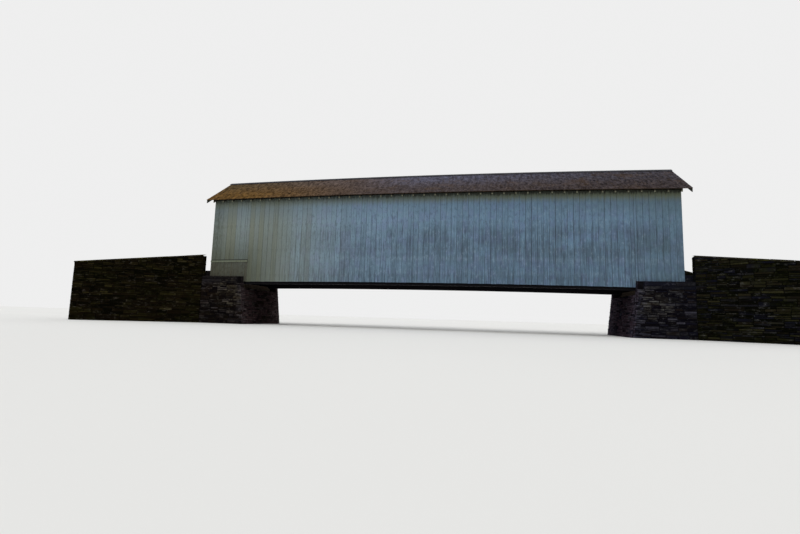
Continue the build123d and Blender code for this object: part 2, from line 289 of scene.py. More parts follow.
def painted_finish():
    """Old blue-grey paint on upright boards: lighter and darker boards, streaks and spots, a
    grimy band at mid height, rust below the nails, worn edges and bare timber indoors. The
    left end is greener, with brownish mended boards under a pale strip. Below the roof the
    paint has painted shade, a greenish tint that is partly growth and partly painted shade,
    and a dark painted eave shadow. level is the height at midspan, with the camber taken out."""
    f = Finish("weathered_board_paint")
    fine = f.noise((70, 70, 2.4), 4.0, 0.65, 11.0)
    streak = f.noise((12, 12, 0.45), 3.0, 0.6, 5.0)
    narrow = f.noise((27, 27, 0.7), 3.0, 0.6, 8.0)
    wide = f.noise((0.5, 0.5, 0.9), 3.0, 0.6)
    fleck = f.noise((34, 34, 7.0), 3.0, 0.7, 3.0)
    along = f.x.rise(-11.0, 6.0)
    f.colour = f.mix(along, paint(119, 145, 163), paint(91, 118, 140))
    level = f.z + f.x * f.x * (0.5 / camber_radius)
    f.coat(f.tone * (0.30 + level.rise(7.0, 5.2) * 0.35), 72, 91, 107)
    band = level.rise(3.2, 4.3) * level.rise(6.1, 5.3)
    grime = band * (streak.rise(0.36, 0.62) * 0.6 + 0.4) * wide.rise(0.30, 0.58)
    f.coat(grime * (0.30 + along * 0.40), 60, 74, 85)
    # Two pale dry bands, dry_apart above and below their middle
    dry_middle, dry_apart = 3.575, 0.375
    from_bands = abs(abs(level + (fine - 0.5) * 0.6 - dry_middle) - dry_apart)
    dry = from_bands.rise(0.16, 0.03)
    f.coat(dry * streak.rise(0.66, 0.40) * 0.28, 118, 140, 155)
    beside = abs(f.side).rise(0.72, 1.0) * narrow.rise(0.45, 0.60)
    f.coat(beside * (0.15 + band * 0.45) * (0.4 + along * 0.6), 46, 58, 67)
    run = narrow.rise(0.50, 0.64) * streak.rise(0.34, 0.58)
    f.coat(run * (0.30 + band * 0.40), 48, 61, 72)
    bright = fine.rise(0.48, 0.32) * streak.rise(0.56, 0.36)
    f.coat(bright * 0.45, 138, 158, 172)
    foot = level.rise(4.2, 2.9)
    f.coat(foot * (0.20 + narrow.rise(0.42, 0.60) * 0.60), 56, 72, 86)
    spot = f.noise((8, 8, 4.5), 3.0, 0.65, 19.0)
    f.coat(spot.rise(0.53, 0.68) * 0.46, 58, 74, 88)
    f.coat(spot.rise(0.45, 0.32) * 0.30, 124, 144, 158)
    violet = f.noise((1.1, 1.1, 1.6), 3.0, 0.6, 2.0)
    f.coat(violet.rise(0.45, 0.62), 255, 246, 255, "MULTIPLY")
    # The left end
    left_end = f.x.rise(-3.0, -10.5)
    f.coat(left_end * (0.65 + f.tone.rise(0.0, 0.6) * 0.30), 106, 111, 98)
    stained = left_end * f.tone.rise(0.35, 0.9) * streak.rise(0.40, 0.60)
    f.coat(stained * 0.45, 74, 82, 78)
    mossy = f.x.rise(-8.0, -11.0) * (level + (streak - 0.5) * 1.5).rise(6.0, 3.0)
    corner = f.x.rise(-12.1, -12.8)
    mossy = mossy * (0.62 + narrow.rise(0.60, 0.40) * 0.26 + corner * 0.10)
    f.coat(mossy, 56, 59, 42)
    f.coat(corner * (0.36 + spot.rise(0.40, 0.60) * 0.25), 60, 63, 48)
    # The mended boards, the dark joint over them and the pale strip
    strip_end = -wall_end + mended_boards * board_width
    at_mend = f.x.rise(strip_end + 0.02, strip_end) * f.y.rise(-1.0, -2.0)
    strip_head = siding_foot + mended_height + strip_height / 2
    renewed = at_mend * level.rise(strip_head, strip_head - 0.02)
    f.coat(renewed * (0.35 + streak.rise(0.40, 0.60) * 0.35), 58, 54, 42)
    f.coat(renewed * spot.rise(0.48, 0.64) * 0.45, 40, 38, 28)
    crevice = abs(level - (strip_head + 0.025)).rise(0.045, 0.025) * at_mend
    f.coat(crevice * 0.75, 30, 32, 24)
    proud = abs(f.y).rise(wall_face + 0.006, wall_face + 0.012) * renewed
    f.coat(proud * (0.45 + fine.rise(0.58, 0.42) * 0.4), 104, 110, 92)
    f.coat(f.x.rise(10.0, 12.6) * 0.30, 64, 84, 90)
    # Painted shade below the roof, a greenish tint that is partly green growth and partly painted
    # shade, and a painted eave shadow
    under_roof = level + (abs(f.y) - wall_face) * tan(roof_pitch)
    shade = under_roof.rise(5.9, 7.2)
    f.coat(shade * 0.30, 66, 84, 100)
    f.coat(shade * f.x.rise(5.0, 11.0) * 0.30, 62, 76, 68)
    # Greenish tint under the roof: partly green growth, partly painted shade
    green = (under_roof + (streak - 0.5) * 0.4).rise(6.95, 7.45) * (0.45 + along * 0.35)
    f.coat(green, 88, 92, 66)
    # Painted eave shadow: a dark band just under the roof, made uneven by the streaks
    eave_shadow_level = under_roof + (streak - 0.5) * 0.5
    f.coat(eave_shadow_level.rise(7.42, 7.58) * (0.50 + along * 0.30), 34, 35, 28)
    # Rust below the nails, worn edges and bare spots
    rows_down = (float(nail_levels[-1]) - level) * (1 / nail_spacing)
    below = rows_down.math("FRACT") * nail_spacing
    weep = below.rise(0.30, 0.01) * abs(abs(f.side) - nail_share).rise(0.10, 0.02)
    f.coat(weep * narrow.rise(0.35, 0.60) * 0.75, 58, 54, 48)
    worn = abs(f.side).rise(0.90, 1.0) * fleck.rise(0.25, 0.55)
    f.coat(worn * 0.75, 36, 42, 46)
    bare = fleck.rise(0.60, 0.70) * fine.rise(0.40, 0.58)
    f.coat(bare * (0.45 + band * 0.45), 56, 59, 58)
    # Unpainted timber on the inner faces
    inside, skin = 0.020, 0.016
    indoors = abs(f.x).rise(wall_end - skin, wall_end - inside)
    indoors = indoors * abs(f.y).rise(wall_face - skin, wall_face - inside)
    raw = f.mix(fine.rise(0.32, 0.66), paint(58, 50, 43), paint(104, 92, 78))
    raw = f.scaled(raw, 0.80 + f.tone * 0.5)
    f.colour = f.mix(indoors, f.colour, raw)
    rough = 0.62 + fine * 0.25 + bare * 0.1
    relief = fine * 0.55 + fleck * 0.25 - bare * 0.35
    return f.done(rough, relief, 0.003, 0.25)


def shingle_finish():
    """Split wood shingles, brown at the left, violet-grey at the middle and darker at the
    right, greyer near the ridge. Each has its own tone and grain up the slope, and there are
    darker and paler runs, pale specks and slightly darker butts."""
    f = Finish("weathered_shingles")
    grain = f.noise((95, 5, 5), 3.0, 0.65, 13.0)
    patch = f.noise((7.5, 3.2, 3.2), 4.0, 0.70)
    wide = f.noise((0.6, 0.9, 0.9), 3.0, 0.6)
    run = f.noise((6.0, 1.0, 1.0), 3.0, 0.6)
    speck = f.noise((10, 5, 5), 4.0, 0.75, 7.0)
    to_right = f.x.rise(-2.0, 12.0)
    upper = f.mix(f.x.rise(-13.5, -4.5), paint(90, 76, 54), paint(91, 81, 80))
    upper = f.mix(f.x.rise(-5.0, 0.0), upper, paint(95, 96, 114))
    upper = f.mix(to_right, upper, paint(69, 68, 77))
    lower = f.mix(f.x.rise(-11.5, -1.0), paint(106, 80, 44), paint(77, 70, 72))
    lower = f.mix(to_right, lower, paint(64, 58, 60))
    f.colour = f.mix(abs(f.y).rise(0.1, 2.2), upper, lower)
    uneven = f.tone * 0.75 + patch.rise(0.37, 0.61) * 1.1 - 0.95
    contrast = 0.75 - f.x.rise(8.0, 2.0) * 0.15 + f.x.rise(-3.0, -8.0) * 0.25
    f.colour = f.scaled(f.colour, uneven * contrast + 1.0)
    f.coat(run.rise(0.46, 0.66) * 0.40, 42, 32, 25)
    f.coat(wide.rise(0.52, 0.70) * 0.30, 92, 72, 52)
    f.coat(speck.rise(0.54, 0.66) * 0.50, 122, 106, 90)
    f.coat(grain.rise(0.50, 0.70) * 0.35, 42, 33, 27)
    f.coat(f.side.rise(0.80, 1.0) * 0.10, 36, 28, 22)
    relief = grain * 0.6 + speck * 0.4
    return f.done(0.82 + grain * 0.15, relief, 0.004, 0.0)


def stone_finish(name, dark, light, moss, moss_share, joint=0.85, abutment=False):
    """Rubble stone: each stone its own tone and sort, colder at the right end, with cloudy
    weathering, pale scars, moss where it holds, and dirt at the edges beside the joints. On
    an abutment, the face under the span is rusty and grey-violet, the stones near its corner
    are pale with a painted highlight along the corner itself, and the top blocks dark."""
    f = Finish(name)
    cloud = f.noise((3.5, 3.5, 5.0), 5.0, 0.62, 17.0)
    grit = f.noise((46, 46, 60), 3.0, 0.7)
    bed = f.noise((2.5, 2.5, 34), 3.0, 0.6, 4.0)
    patch = f.noise((0.7, 0.7, 0.9), 4.0, 0.6)
    sort = f.noise((0.3, 0.3, 0.3), 1.0, 0.5, 29.0)
    share = f.tone ** 1.8 * 0.8 + cloud * 1.2 + patch * 0.4 - 0.95
    f.colour = f.mix(share, paint(*dark), paint(*light))
    f.coat(sort.rise(0.52, 0.64) * 0.40, 36, 30, 24)
    cold = f.mix(f.x.rise(-4.0, 4.0), paint(27, 21, 15), paint(22, 22, 36))
    f.colour = f.mix(sort.rise(0.48, 0.36) * 0.50, f.colour, cold)
    if abutment:
        from_toe = abs(f.x) - f.z * front_batter
        span_side = from_toe.rise(abutment_toe + 0.10, abutment_toe + 0.04)
        f.coat(span_side * sort.rise(0.44, 0.56) * 0.55, 60, 48, 58)
        near_corner = from_toe.rise(abutment_toe + 2.4, abutment_toe + 0.9) * f.z.rise(0.5, 1.5)
        pale = f.tone.rise(0.26, 0.56) * cloud.rise(0.36, 0.60) * (1 - span_side)
        f.coat(near_corner * pale * 0.70, 76, 75, 68)
        far = span_side * abs(f.y + 0.4).rise(0.6, 2.4) * cloud.rise(0.40, 0.58)
        f.coat(far * (0.35 + f.tone * 0.8), 84, 76, 88)
        # Painted highlight: paler stones along the abutment's corner edge
        corner = from_toe.rise(abutment_toe + 0.55, abutment_toe + 0.15)
        corner = corner * abs(f.y).rise(abutment_side - 0.35, abutment_side - 0.10)
        f.coat(corner * cloud.rise(0.42, 0.60) * 0.6, 66, 66, 78)
        blocks = f.z.rise(cap_top - 0.42, cap_top - 0.36)
        f.coat(blocks * 0.7, 21, 22, 30)
    f.coat(bed.rise(0.48, 0.66) * 0.50, 20, 16, 16)
    scar = cloud.rise(0.54, 0.68) * grit.rise(0.42, 0.62)
    f.coat(scar * 0.40, 100, 100, 106)
    growth = patch.rise(0.42, 0.64) * cloud.rise(0.40, 0.62)
    f.coat(growth * moss_share, *moss)
    brown_end = f.x.rise(0.0, -6.0) * 0.8
    f.coat(brown_end, 255, 238, 205, "MULTIPLY")
    edge = abs(f.side).rise(0.15, 0.95)
    f.coat(edge * joint, 8, 7, 8)
    relief = cloud * 0.5 + bed * 0.3 + grit * 0.2
    return f.done(0.84 + grit * 0.15, relief, 0.012, 0.0)


def timber_finish(name, scales, colours, tails=False):
    """Rough-sawn timber: grain along its length, saw marks across it, dark checks along the
    grain and patches of grey and brown. Rafter tails outside the wall are darkened with
    painted eave shade, and the lower half of their cut ends is paler, partly old paint and
    partly a painted highlight."""
    f = Finish(name)
    across = tuple(170.0 if s == min(scales) else 2.0 for s in scales)
    grain = f.noise(scales, 4.0, 0.6, 9.0)
    saw = f.noise(across, 1.0, 0.5)
    patch = f.noise((0.8, 0.8, 0.8), 3.0, 0.6)
    check = f.noise(tuple(s * 0.45 for s in scales), 2.0, 0.4, 5.0)
    dark, light, bleached = (paint(*c) for c in colours)
    f.colour = f.mix(grain.rise(0.30, 0.70), dark, light)
    f.colour = f.mix(patch.rise(0.45, 0.70) * 0.5, f.colour, bleached)
    f.colour = f.scaled(f.colour, 0.85 + f.tone * 0.3)
    crack = check.rise(0.64, 0.70)
    f.coat(crack * 0.7, 14, 12, 10)
    if tails:
        # Painted eave shade: the rafter tails outside the wall are darkened
        eave_shaded_tails = abs(f.y).rise(wall_face - 0.02, wall_face + 0.02)
        f.coat(eave_shaded_tails * 0.85, 34, 31, 26)
        level = f.z + f.x * f.x * (0.5 / camber_radius)
        # The lower half of each cut end is paler: partly old paint, partly a painted highlight
        lower_half = (level - tail_foot).rise(0.095, 0.060)
        cut_end = abs(f.y).rise(tail_end - 0.004, tail_end - 0.001) * lower_half
        old_paint_and_highlight = f.mix(grain.rise(0.35, 0.65), paint(114, 116, 98), paint(86, 86, 68))
        f.colour = f.mix(cut_end * 0.8, f.colour, old_paint_and_highlight)
    relief = grain * 0.5 + saw * 0.25 - crack * 0.6
    return f.done(0.78 + grain * 0.18, relief, 0.003, 0.12)


def plank_finish():
    """Worn deck planks: grain across the roadway, paler and smoother in the wheel tracks,
    dirt in the joints and grey-brown boards of different ages."""
    f = Finish("worn_planks")
    grain = f.noise((60, 2.2, 60), 4.0, 0.62, 11.0)
    patch = f.noise((1.3, 1.3, 1.3), 4.0, 0.62)
    wear = abs(abs(f.y) - wheel_track).rise(0.45, 0.05)
    f.colour = f.mix(f.tone, paint(84, 72, 60), paint(116, 103, 88))
    f.coat(grain.rise(0.48, 0.70) * 0.55, 52, 43, 35)
    f.coat(wear * 0.35, 136, 126, 112)
    f.coat(patch.rise(0.50, 0.72) * 0.45, 62, 55, 48)
    f.coat(abs(f.side).rise(0.86, 1.0) * 0.7, 36, 31, 26)
    return f.done(0.85 - wear * 0.18, grain, 0.003, 0.25)


def nail_finish():
    """Iron nail heads under old paint: some still grey, some rusted through."""
    f = Finish("painted_nails")
    grit = f.noise((240, 240, 240), 3.0, 0.6)
    rust = f.mix(grit, paint(46, 34, 28), paint(84, 56, 40))
    still_grey = (f.tone + grit * 0.4).rise(0.45, 0.75)
    f.colour = f.mix(still_grey, rust, paint(88, 102, 112))
    return f.done(0.7 + grit * 0.2, grit, 0.001, 0.3)


lengthwise_grain = (2.0, 42.0, 42.0)
timber_tones = ((50, 41, 34), (86, 73, 60), (98, 90, 80))
# Near-black chord timber: creosote, darkened further with painted shade for the band under the
# siding
creosote_and_shade_tones = ((8, 7, 11), (17, 15, 20), (22, 20, 26))
roof_board_tones = ((58, 46, 36), (96, 78, 60), (104, 92, 76))
ridge_board_tones = ((40, 40, 44), (60, 60, 66), (74, 74, 78))
painted = painted_finish()
nailed = nail_finish()
shingled = shingle_finish()
# Abutment rubble: dark stone, darkened further with painted shade
rubble = stone_finish("dark_rubble_with_painted_shade", (10, 9, 14), (74, 73, 84), (20, 21, 12), 0.35, abutment=True)
# Wing wall rubble: mossy and olive, darkened with painted shade of the trees
mossy_rubble_in_painted_shade = stone_finish("mossy_rubble_in_painted_shade", (6, 7, 3), (58, 56, 35), (18, 20, 5), 0.75)
coping = stone_finish("mossy_coping", (28, 27, 20), (74, 71, 60), (62, 64, 22), 0.85, joint=0.5)
roadway = plank_finish()
creosoted_chord_timber_in_painted_shade = timber_finish("creosoted_chord_timber_with_painted_shade", lengthwise_grain, creosote_and_shade_tones)
long_timber = timber_finish("timber_lengthwise", lengthwise_grain, timber_tones)
cross_timber = timber_finish("timber_crosswise", (42.0, 2.0, 42.0), timber_tones)
upright_timber = timber_finish("timber_upright", (42.0, 42.0, 2.0), timber_tones)
rafter_timber = timber_finish("timber_rafters", (42.0, 3.0, 14.0), timber_tones, tails=True)
sloping_timber = timber_finish("timber_sloping", (9.0, 42.0, 9.0), timber_tones)
bare_boards = timber_finish("roof_boards", lengthwise_grain, roof_board_tones)
ridge_boards = timber_finish("ridge_boards", lengthwise_grain, ridge_board_tones)

# Solids that stay visible, by finish
kept_solids = (
    (painted, "barge_boards front_siding_ledge"),
    (creosoted_chord_timber_in_painted_shade, "front_bottom_chord back_bottom_chord"),
    (long_timber, "front_top_chord back_top_chord front_girts back_girts floor_joists"),
    (upright_timber, "front_truss_posts back_truss_posts"),
    (sloping_timber, "front_truss_braces back_truss_braces"),
    (cross_timber, "floor_beams tie_beams upper_lateral_braces knee_braces"),
    (cross_timber, "portal_headers left_bearing_timbers right_bearing_timbers"),
    (rafter_timber, "front_rafters back_rafters"),
    (rubble, "left_abutment left_cheek_walls left_back_wall"),
    (rubble, "right_abutment right_cheek_walls right_back_wall"),
    (mossy_rubble_in_painted_shade, "left_front_wing_wall left_back_wing_wall"),
    (mossy_rubble_in_painted_shade, "right_front_wing_wall right_back_wing_wall"),
)
for finish, node_names in kept_solids:
    for node_name in node_names.split():
        materials = frame["nodes"][node_name].data.materials
        materials.clear()
        materials.append(finish)


# Meshes


class Heap:
    """Points and faces of one piece in the making. Each point has the tone of its board or
    stone, and its side: how far it is from the middle, 1 or -1 at the edges."""

    def __init__(self):
        self.points, self.faces, self.tones, self.sides, self.total = [], [], [], [], 0

    def add_bars(self, rings, tone, side):
        """Closed bars. rings is (bar, station, corner, xyz): an outline of an even number of
        corners at each station, joined side to side along the bar and closed at its ends."""
        count, stations, corners, _ = rings.shape
        index = np.arange(count * stations * corners).reshape(count, stations, corners)
        here, onward = index[:, :-1], index[:, 1:]
        walls = np.stack([here, np.roll(here, -1, 2), np.roll(onward, -1, 2), onward], -1)
        faces = [walls.reshape(-1, 4)]
        for k in range(corners // 2 - 1):
            pick = [k, k + 1, corners - 2 - k, corners - 1 - k]
            faces += [index[:, 0, pick[::-1]], index[:, -1, pick]]
        faces = np.concatenate(faces)
        points = rings.reshape(-1, 3)
        a, b, c, d = (points[faces[:, k]] - points.mean(0) for k in range(4))
        wedges = np.einsum("ij,ij->i", a, np.cross(b, c) + np.cross(c, d))
        if wedges.sum() < 0:
            faces = faces[:, ::-1]
        self.points.append(points)
        self.faces.append(faces + self.total)
        self.tones.append(np.broadcast_to(tone[:, None, None], rings.shape[:3]).ravel())
        self.sides.append(np.broadcast_to(side, rings.shape[:3]).ravel())
        self.total += len(points)


def piece(name, heap, finish, slot, *nodes):
    """The mesh object of a heap. It rides on the bridge and stands for the nodes."""
    points, faces = np.concatenate(heap.points), np.concatenate(heap.faces)
    mesh = bpy.data.meshes.new(name)
    mesh.vertices.add(len(points))
    mesh.vertices.foreach_set("co", points.ravel())
    mesh.loops.add(faces.size)
    mesh.loops.foreach_set("vertex_index", faces.ravel().astype(np.int32))
    mesh.polygons.add(len(faces))
    mesh.polygons.foreach_set("loop_start", np.arange(0, faces.size, 4, dtype=np.int32))
    mesh.update(calc_edges=True)
    for key, values in (("tone", heap.tones), ("side", heap.sides)):
        attribute = mesh.attributes.new(key, "FLOAT", "POINT")
        attribute.data.foreach_set("value", np.concatenate(values).astype(np.float32))
    mesh.shade_flat()
    mesh.materials.append(finish)
    obj = bpy.data.objects.new(name, mesh)
    bpy.context.scene.collection.objects.link(obj)
    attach(obj, "root")
    if nodes:
        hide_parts(*nodes)


def sawn_outline(left, right, thickness, chamfer, flare=np.zeros((1, 2))):
    """Outline of sawn boards, (board, 8) across and (board, 8) deep: from left to right and
    from 0 to the thickness, with each corner cut off by the chamfer. The back is wider at
    left and right by the two flares, where boards meet at the back of a groove."""
    at_left = np.array([1, 1, 0, 0, 0, 0, 1, 1])
    far = np.array([0, 0, 0, 0, 1, 1, 1, 1])
    across = np.where(at_left, left[:, None], right[:, None])
    across = across + chamfer * np.array([0, 1, -1, 0, 0, -1, 1, 0])
    across = across + far * np.where(at_left, -flare[:, :1], flare[:, 1:])
    deep = far * thickness[:, None] + chamfer * np.array([1, 0, 0, 1, -1, 0, 0, -1])
    return across, deep


# How far from the middle each corner of a sawn outline lies, 1 or -1 at the edges
side_marks = np.array([-1.0, -0.95, 0.95, 1.0, 1.0, 0.95, -0.95, -1.0])


def drive_nails(heap, rng, rows, boards, place):
    """Two nails to a board in each row that crosses it. A nail is a six-sided outline carried
    out from under the board's bowed face to a smaller crown. boards is (middle, half width,
    foot, head, bow, lean) of each board."""
    middle, half, foot, head, bow, lean = boards
    count = len(middle)
    angle = np.arange(6) * np.pi / 3
    for share in (-nail_share, nail_share):
        along = middle + share * half + rng.uniform(-0.006, 0.006, count)
        for row in rows(along):
            height = row + rng.uniform(-0.012, 0.012, count)
            t = (height - foot) / (head - foot)
            face = board_inset + bow * np.sin(np.pi * t) + lean * share
            radius = nail_radius * np.array([1.0, 1.0, 0.6])[None, :, None]
            u = along[:, None, None] + radius * np.cos(angle)
            v = height[:, None, None] + radius * np.sin(angle)
            deep = face[:, None, None] + np.array([0.003, -0.0006, -0.0016])[None, :, None]
            rings = place(u, np.broadcast_to(deep, u.shape), v)
            held = (t > 0.02) & (t < 0.98)
            if held.any():
                heap.add_bars(rings[held], rng.uniform(0, 1, count)[held], 0.0)


def upright_boards(heap, rng, edges, foot, head, place, tones, stations, nails):
    """Upright boards between the edges. Each is a sawn outline carried up from foot(along,
    deep) to head(along, deep), bowed in and out along a half sine and slightly cupped. nails
    is the heap of their nails, their random source and the height of each row at a board."""
    count = len(edges) - 1
    groove = (0.5 + 1.4 * rng.beta(1.0, 2.6, count + 1)) * board_gap / 2
    groove = groove * np.interp(edges, [-wall_end, -2.0, 3.0], [0.50, 0.65, 1.0])
    left, right = edges[:-1] + groove[:-1], edges[1:] - groove[1:]
    flare = np.stack([groove[:-1], groove[1:]], -1) - 0.0004
    across, deep = sawn_outline(left, right, np.full(count, board_skin), board_chamfer, flare)
    t = np.linspace(0, 1, stations)[None, :, None]
    along = np.broadcast_to(across[:, None, :], (count, stations, 8))
    bow_size = rng.uniform(-0.0015, 0.0025, (count, 1, 1))
    lean_size = rng.uniform(-0.001, 0.001, (count, 1, 1))
    bowed = bow_size * np.sin(np.pi * t) + lean_size * side_marks
    inward = deep[:, None, :] + board_inset + bowed
    trim = rng.uniform(0.0, 0.012, (count, 1, 1))
    low_end, high_end = foot(along, inward) + trim, head(along, inward)
    height = low_end + (high_end - low_end) * t
    heap.add_bars(place(along, inward, height), tones, side_marks)
    nail_heap, nail_rng, rows = nails
    middle, half = (left + right) / 2, (right - left) / 2
    face_foot, face_head = low_end[:, 0, 1], high_end[:, 0, 1]
    boards = middle, half, face_foot, face_head, bow_size[:, 0, 0], lean_size[:, 0, 0]
    drive_nails(nail_heap, nail_rng, rows, boards, place)


def stack(x, y, z):
    """Three arrays of coordinates as one, broadcast together."""
    return np.stack(np.broadcast_arrays(x, y, z), -1)


def split(rng, total, typical, spread=0.4):
    """A length split into uneven shares about the typical one: places of the cuts, 0 first."""
    count = max(1, round(total / typical))
    shares = rng.uniform(1 - spread, 1 + spread, count)
    return np.concatenate([[0.0], np.cumsum(shares) / shares.sum() * total])


# Walls of upright boards

notch_height = siding_foot - camber
raised_from = abutment_toe + notch_height * front_batter - siding_lift
board_edges = np.linspace(-wall_end, wall_end, board_count + 1)
notched_edges = np.sort(np.append(board_edges, [-raised_from, raised_from]))


def siding_foot_line(x, deep):
    """Foot of the siding at midspan of each board: cambered between the abutments and level
    over them, told apart by which side of the notch the board's middle is."""
    middle = x.mean(axis=(1, 2), keepdims=True)
    cambered = siding_foot - drop(x)
    return np.where(np.abs(middle) > raised_from, cap_top + siding_lift, cambered)


def under_rafters(y, x):
    """Height of the underside of the rafters at y and x."""
    return sheathing(y) - rafter_depth / cos(roof_pitch) - drop(x)


def mend_line(x, deep):
    """Joint of the mended boards: a constant height above the cambered foot."""
    return siding_foot + mended_height - drop(x)


def long_wall(front, nail_heap):
    """The boards of one long wall, nailed to the girts. On the front the first boards at the
    left are mended: their lower part is a newer board below the mend line."""
    rng = np.random.default_rng(11 if front else 12)
    heap = Heap()
    sign = -1.0 if front else 1.0

    def rows(x):
        return nail_levels[:, None] - drop(x)

    nails = (nail_heap, np.random.default_rng(61 if front else 62), rows)

    def place(x, deep, z):
        return stack(x, sign * (wall_face - deep), z)

    def head(x, deep):
        return under_rafters(wall_face - deep, x)

    tones = np.clip(rng.beta(1.6, 2.6, board_count + 2), 0, 1)
    whole = notched_edges
    if front:
        first = mended_boards + 1
        mended = notched_edges[: first + 1]
        newer = tones[:first] * 0.4
        upright_boards(heap, rng, mended, siding_foot_line, mend_line, place, newer, 4, nails)
        upright_boards(heap, rng, mended, mend_line, head, place, tones[:first], 6, nails)
        whole = notched_edges[first:]
        tones = tones[first:]
    upright_boards(heap, rng, whole, siding_foot_line, head, place, tones, 7, nails)
    return heap


def portal_wall(sign, nail_heap):
    """The boards of one portal: jambs from their foot, and between them boards that hang
    from the roof to the opening's flat crown and its two cut corners. They are nailed in line
    with the girts, and to the header over the opening."""
    rng = np.random.default_rng(14 if sign > 0 else 15)
    heap = Heap()
    crown_side = opening_side - opening_clip
    spans = ((0, crown_side, 4), (crown_side, opening_side, 2), (opening_side, wall_back, 2))

    def head(y, deep):
        return sheathing(y) - drop(wall_end)

    def lintel(y, deep):
        return opening_crown - np.clip(np.abs(y) - crown_side, 0, opening_clip)

    def jamb(y, deep):
        return np.full_like(y, jamb_foot)

    header_middle = opening_crown + header_lift + header_depth / 2
    jamb_rows = nail_levels - camber
    hung_rows = np.array([header_middle, header_middle + upper_nail_row])
    nail_rng = np.random.default_rng(63 if sign > 0 else 64)

    for side in (-1.0, 1.0):
        def place(y, deep, z):
            return stack(sign * (wall_end - deep), side * y, z)

        for start, end, count in spans:
            edges = np.linspace(start, end, count + 1)
            foot = jamb if start == opening_side else lintel
            tones = rng.uniform(0.0, 0.8, count)
            levels = jamb_rows if start == opening_side else hung_rows
            nails = (nail_heap, nail_rng, lambda y, levels=levels: levels[:, None] + 0 * y)
            upright_boards(heap, rng, edges, foot, head, place, tones, 7, nails)
    return heap


wall_nails = Heap()
wall_pieces = (
    ("front_wall", long_wall(True, wall_nails), ("front_siding", "front_siding_patch")),
    ("back_wall", long_wall(False, wall_nails), ("back_siding",)),
    ("left_portal", portal_wall(-1.0, wall_nails), ("left_portal_jambs", "left_portal_gable")),
    ("right_portal", portal_wall(1.0, wall_nails), ("right_portal_jambs", "right_portal_gable")),
)
for wall_name, boards, nodes in wall_pieces:
    piece(f"{wall_name}_boards", boards, painted, "painted_boards", *nodes)
piece("board_nails", wall_nails, nailed, "painted_boards")


# Roof


def on_slope(sign, x, up, out):
    """Points of one roof slope: x along the bridge, up the slope from the eave, and out from
    the underside of the roof boards, then dropped with the camber."""
    y = eave_edge - up * cos(roof_pitch) + out * sin(roof_pitch)
    z = sheathing(eave_edge) + up * sin(roof_pitch) + out * cos(roof_pitch)
    return stack(x, sign * y, z - drop(x))


def shingles(sign):
    """One slope of shingles. Course by course up the slope, each shingle is a wedge two
    exposures long: its thin head lies on the roof boards and its thick butt on the course
    below. Butts are a little uneven and some corners curl up."""
    rng = np.random.default_rng(21 if sign < 0 else 22)
    exposure = (slope_length - 0.10) / shingle_courses
    heap = Heap()
    lift = sheathing_thickness + shingle_butt + shingle_head
    for course in range(-1, shingle_courses + 1):
        ends = split(rng, 2 * roof_end, shingle_width, 0.45) - roof_end
        count = len(ends) - 1
        gap = rng.uniform(0.001, 0.003, (count, 2))
        left, right = ends[:-1] + gap[:, 0], ends[1:] - gap[:, 1]
        butt = max(course, 0) * exposure - 0.03 + rng.uniform(-0.006, 0.006, count)
        length = 2 * exposure if course >= 0 else exposure
        head = np.minimum(butt + length, slope_length - 0.002)
        thick = shingle_butt + rng.uniform(-0.003, 0.003, count)
        curl = rng.uniform(0, 1, (count, 2)) ** 6 * 0.006
        under = lift if course >= 0 else sheathing_thickness
        x = np.stack([left, right, right, left], -1)[:, None, :]
        skew = rng.uniform(-0.003, 0.003, (count, 1, 1)) * np.array([1, -1, -1, 1])
        up = np.stack([butt, head], -1)[:, :, None] + skew
        low_butt = under + np.stack([curl[:, 0], curl[:, 1]] * 2, -1)[:, [0, 1, 1, 0]]
        low_butt[:, 2:] += thick[:, None]
        low_head = np.array([0, 0, 1, 1]) * shingle_head + sheathing_thickness
        out = np.stack([low_butt, np.broadcast_to(low_head, (count, 4))], 1)
        tones = rng.beta(2.2, 2.2, count)
        side = np.array([1.0, -1.0])[None, :, None]
        heap.add_bars(on_slope(sign, x, up, out), tones, side)
    return heap


def lengthwise(ends, gap, stations):
    """Places along boards laid end to end, from just after one cut to just before the next."""
    start, end = ends[:-1, None, None] + gap, ends[1:, None, None] - gap
    return start + (end - start) * np.linspace(0, 1, stations)[None, :, None]


def roof_boards():
    """The boards under the shingles, laid along the bridge edge to edge up both slopes, in
    lengths that break joint; each is a thin bar that follows the camber."""
    rng = np.random.default_rng(23)
    heap = Heap()
    rows = round(slope_length / sheathing_width)
    pitch = slope_length / rows
    for sign in (-1.0, 1.0):
        for row in range(rows):
            ends = split(rng, 2 * roof_end, 4.5, 0.3) - roof_end
            x = lengthwise(ends, 0.001, 5)
            up = row * pitch + np.array([0.002, pitch - 0.002, pitch - 0.002, 0.002])
            out = np.array([0.0, 0.0, 1.0, 1.0]) * sheathing_thickness
            tones = rng.uniform(0, 1, len(x))
            side = np.array([-1.0, 1.0, 1.0, -1.0])
            heap.add_bars(on_slope(sign, x, up, out), tones, side)
    return heap


